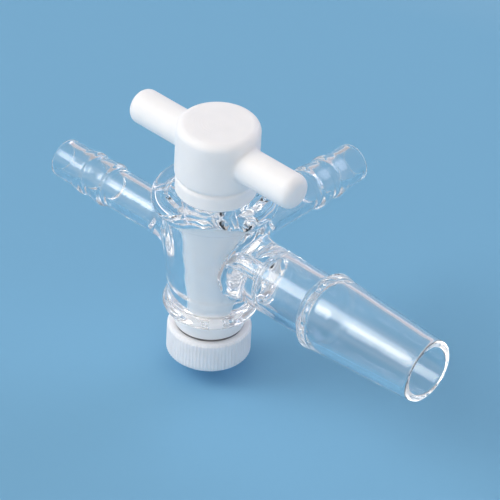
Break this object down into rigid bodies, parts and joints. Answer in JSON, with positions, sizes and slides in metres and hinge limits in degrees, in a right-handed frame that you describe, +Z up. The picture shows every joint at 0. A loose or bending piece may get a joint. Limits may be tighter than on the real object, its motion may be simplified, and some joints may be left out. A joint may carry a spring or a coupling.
{
  "type": "three-way glass stopcock",
  "caption": "T-bore stopcock: clear glass barrel with a male ground-size cone and two barbed hose arms, white PTFE key with a T handle, held by a knurled nut.",
  "frame": {"origin": "centre of the nut's underside, on the key's axis; the part stands on this face", "axes": "+Z up along the key's axis, towards its handle; +X along the male cone, away from the barrel; +Y along the side hose arm; the other hose arm points along -X"},
  "size_m": [0.0937, 0.0517, 0.0524],
  "materials": {
    "glass": "clear fire-polished borosilicate glass",
    "ptfe": "white PTFE, satin and faintly translucent",
    "washer_ptfe": "white turned PTFE",
    "ring_rubber": "matt black rubber",
    "nut_plastic": "white moulded plastic with a fine knurl"
  },
  "bodies": {
    "glass": {"glass_body": "glass"},
    "key": {"key": "ptfe"},
    "washer": {"washer": "washer_ptfe", "sealing_ring": "ring_rubber"},
    "nut": {"nut": "nut_plastic"}
  },
  "joints": [
    {"name": "key_turn", "type": "hinge", "parent": "glass", "child": "key", "pos_m": [0, 0, 0.02435], "axis": [0, 0, 1], "continuous": true},
    {"name": "nut_travel", "type": "slide", "parent": "key", "child": "washer", "axis": [0, 0, -1], "range_m": [0, 0.00375]},
    {"name": "nut_turn", "type": "hinge", "parent": "washer", "child": "nut", "pos_m": [0, 0, 0.00315], "axis": [0, 0, -1], "range_deg": [0, 1080]}
  ],
  "couplings": [
    {"joint": "nut_turn", "follows": "nut_travel", "rad_per_m": 5026.5}
  ]
}
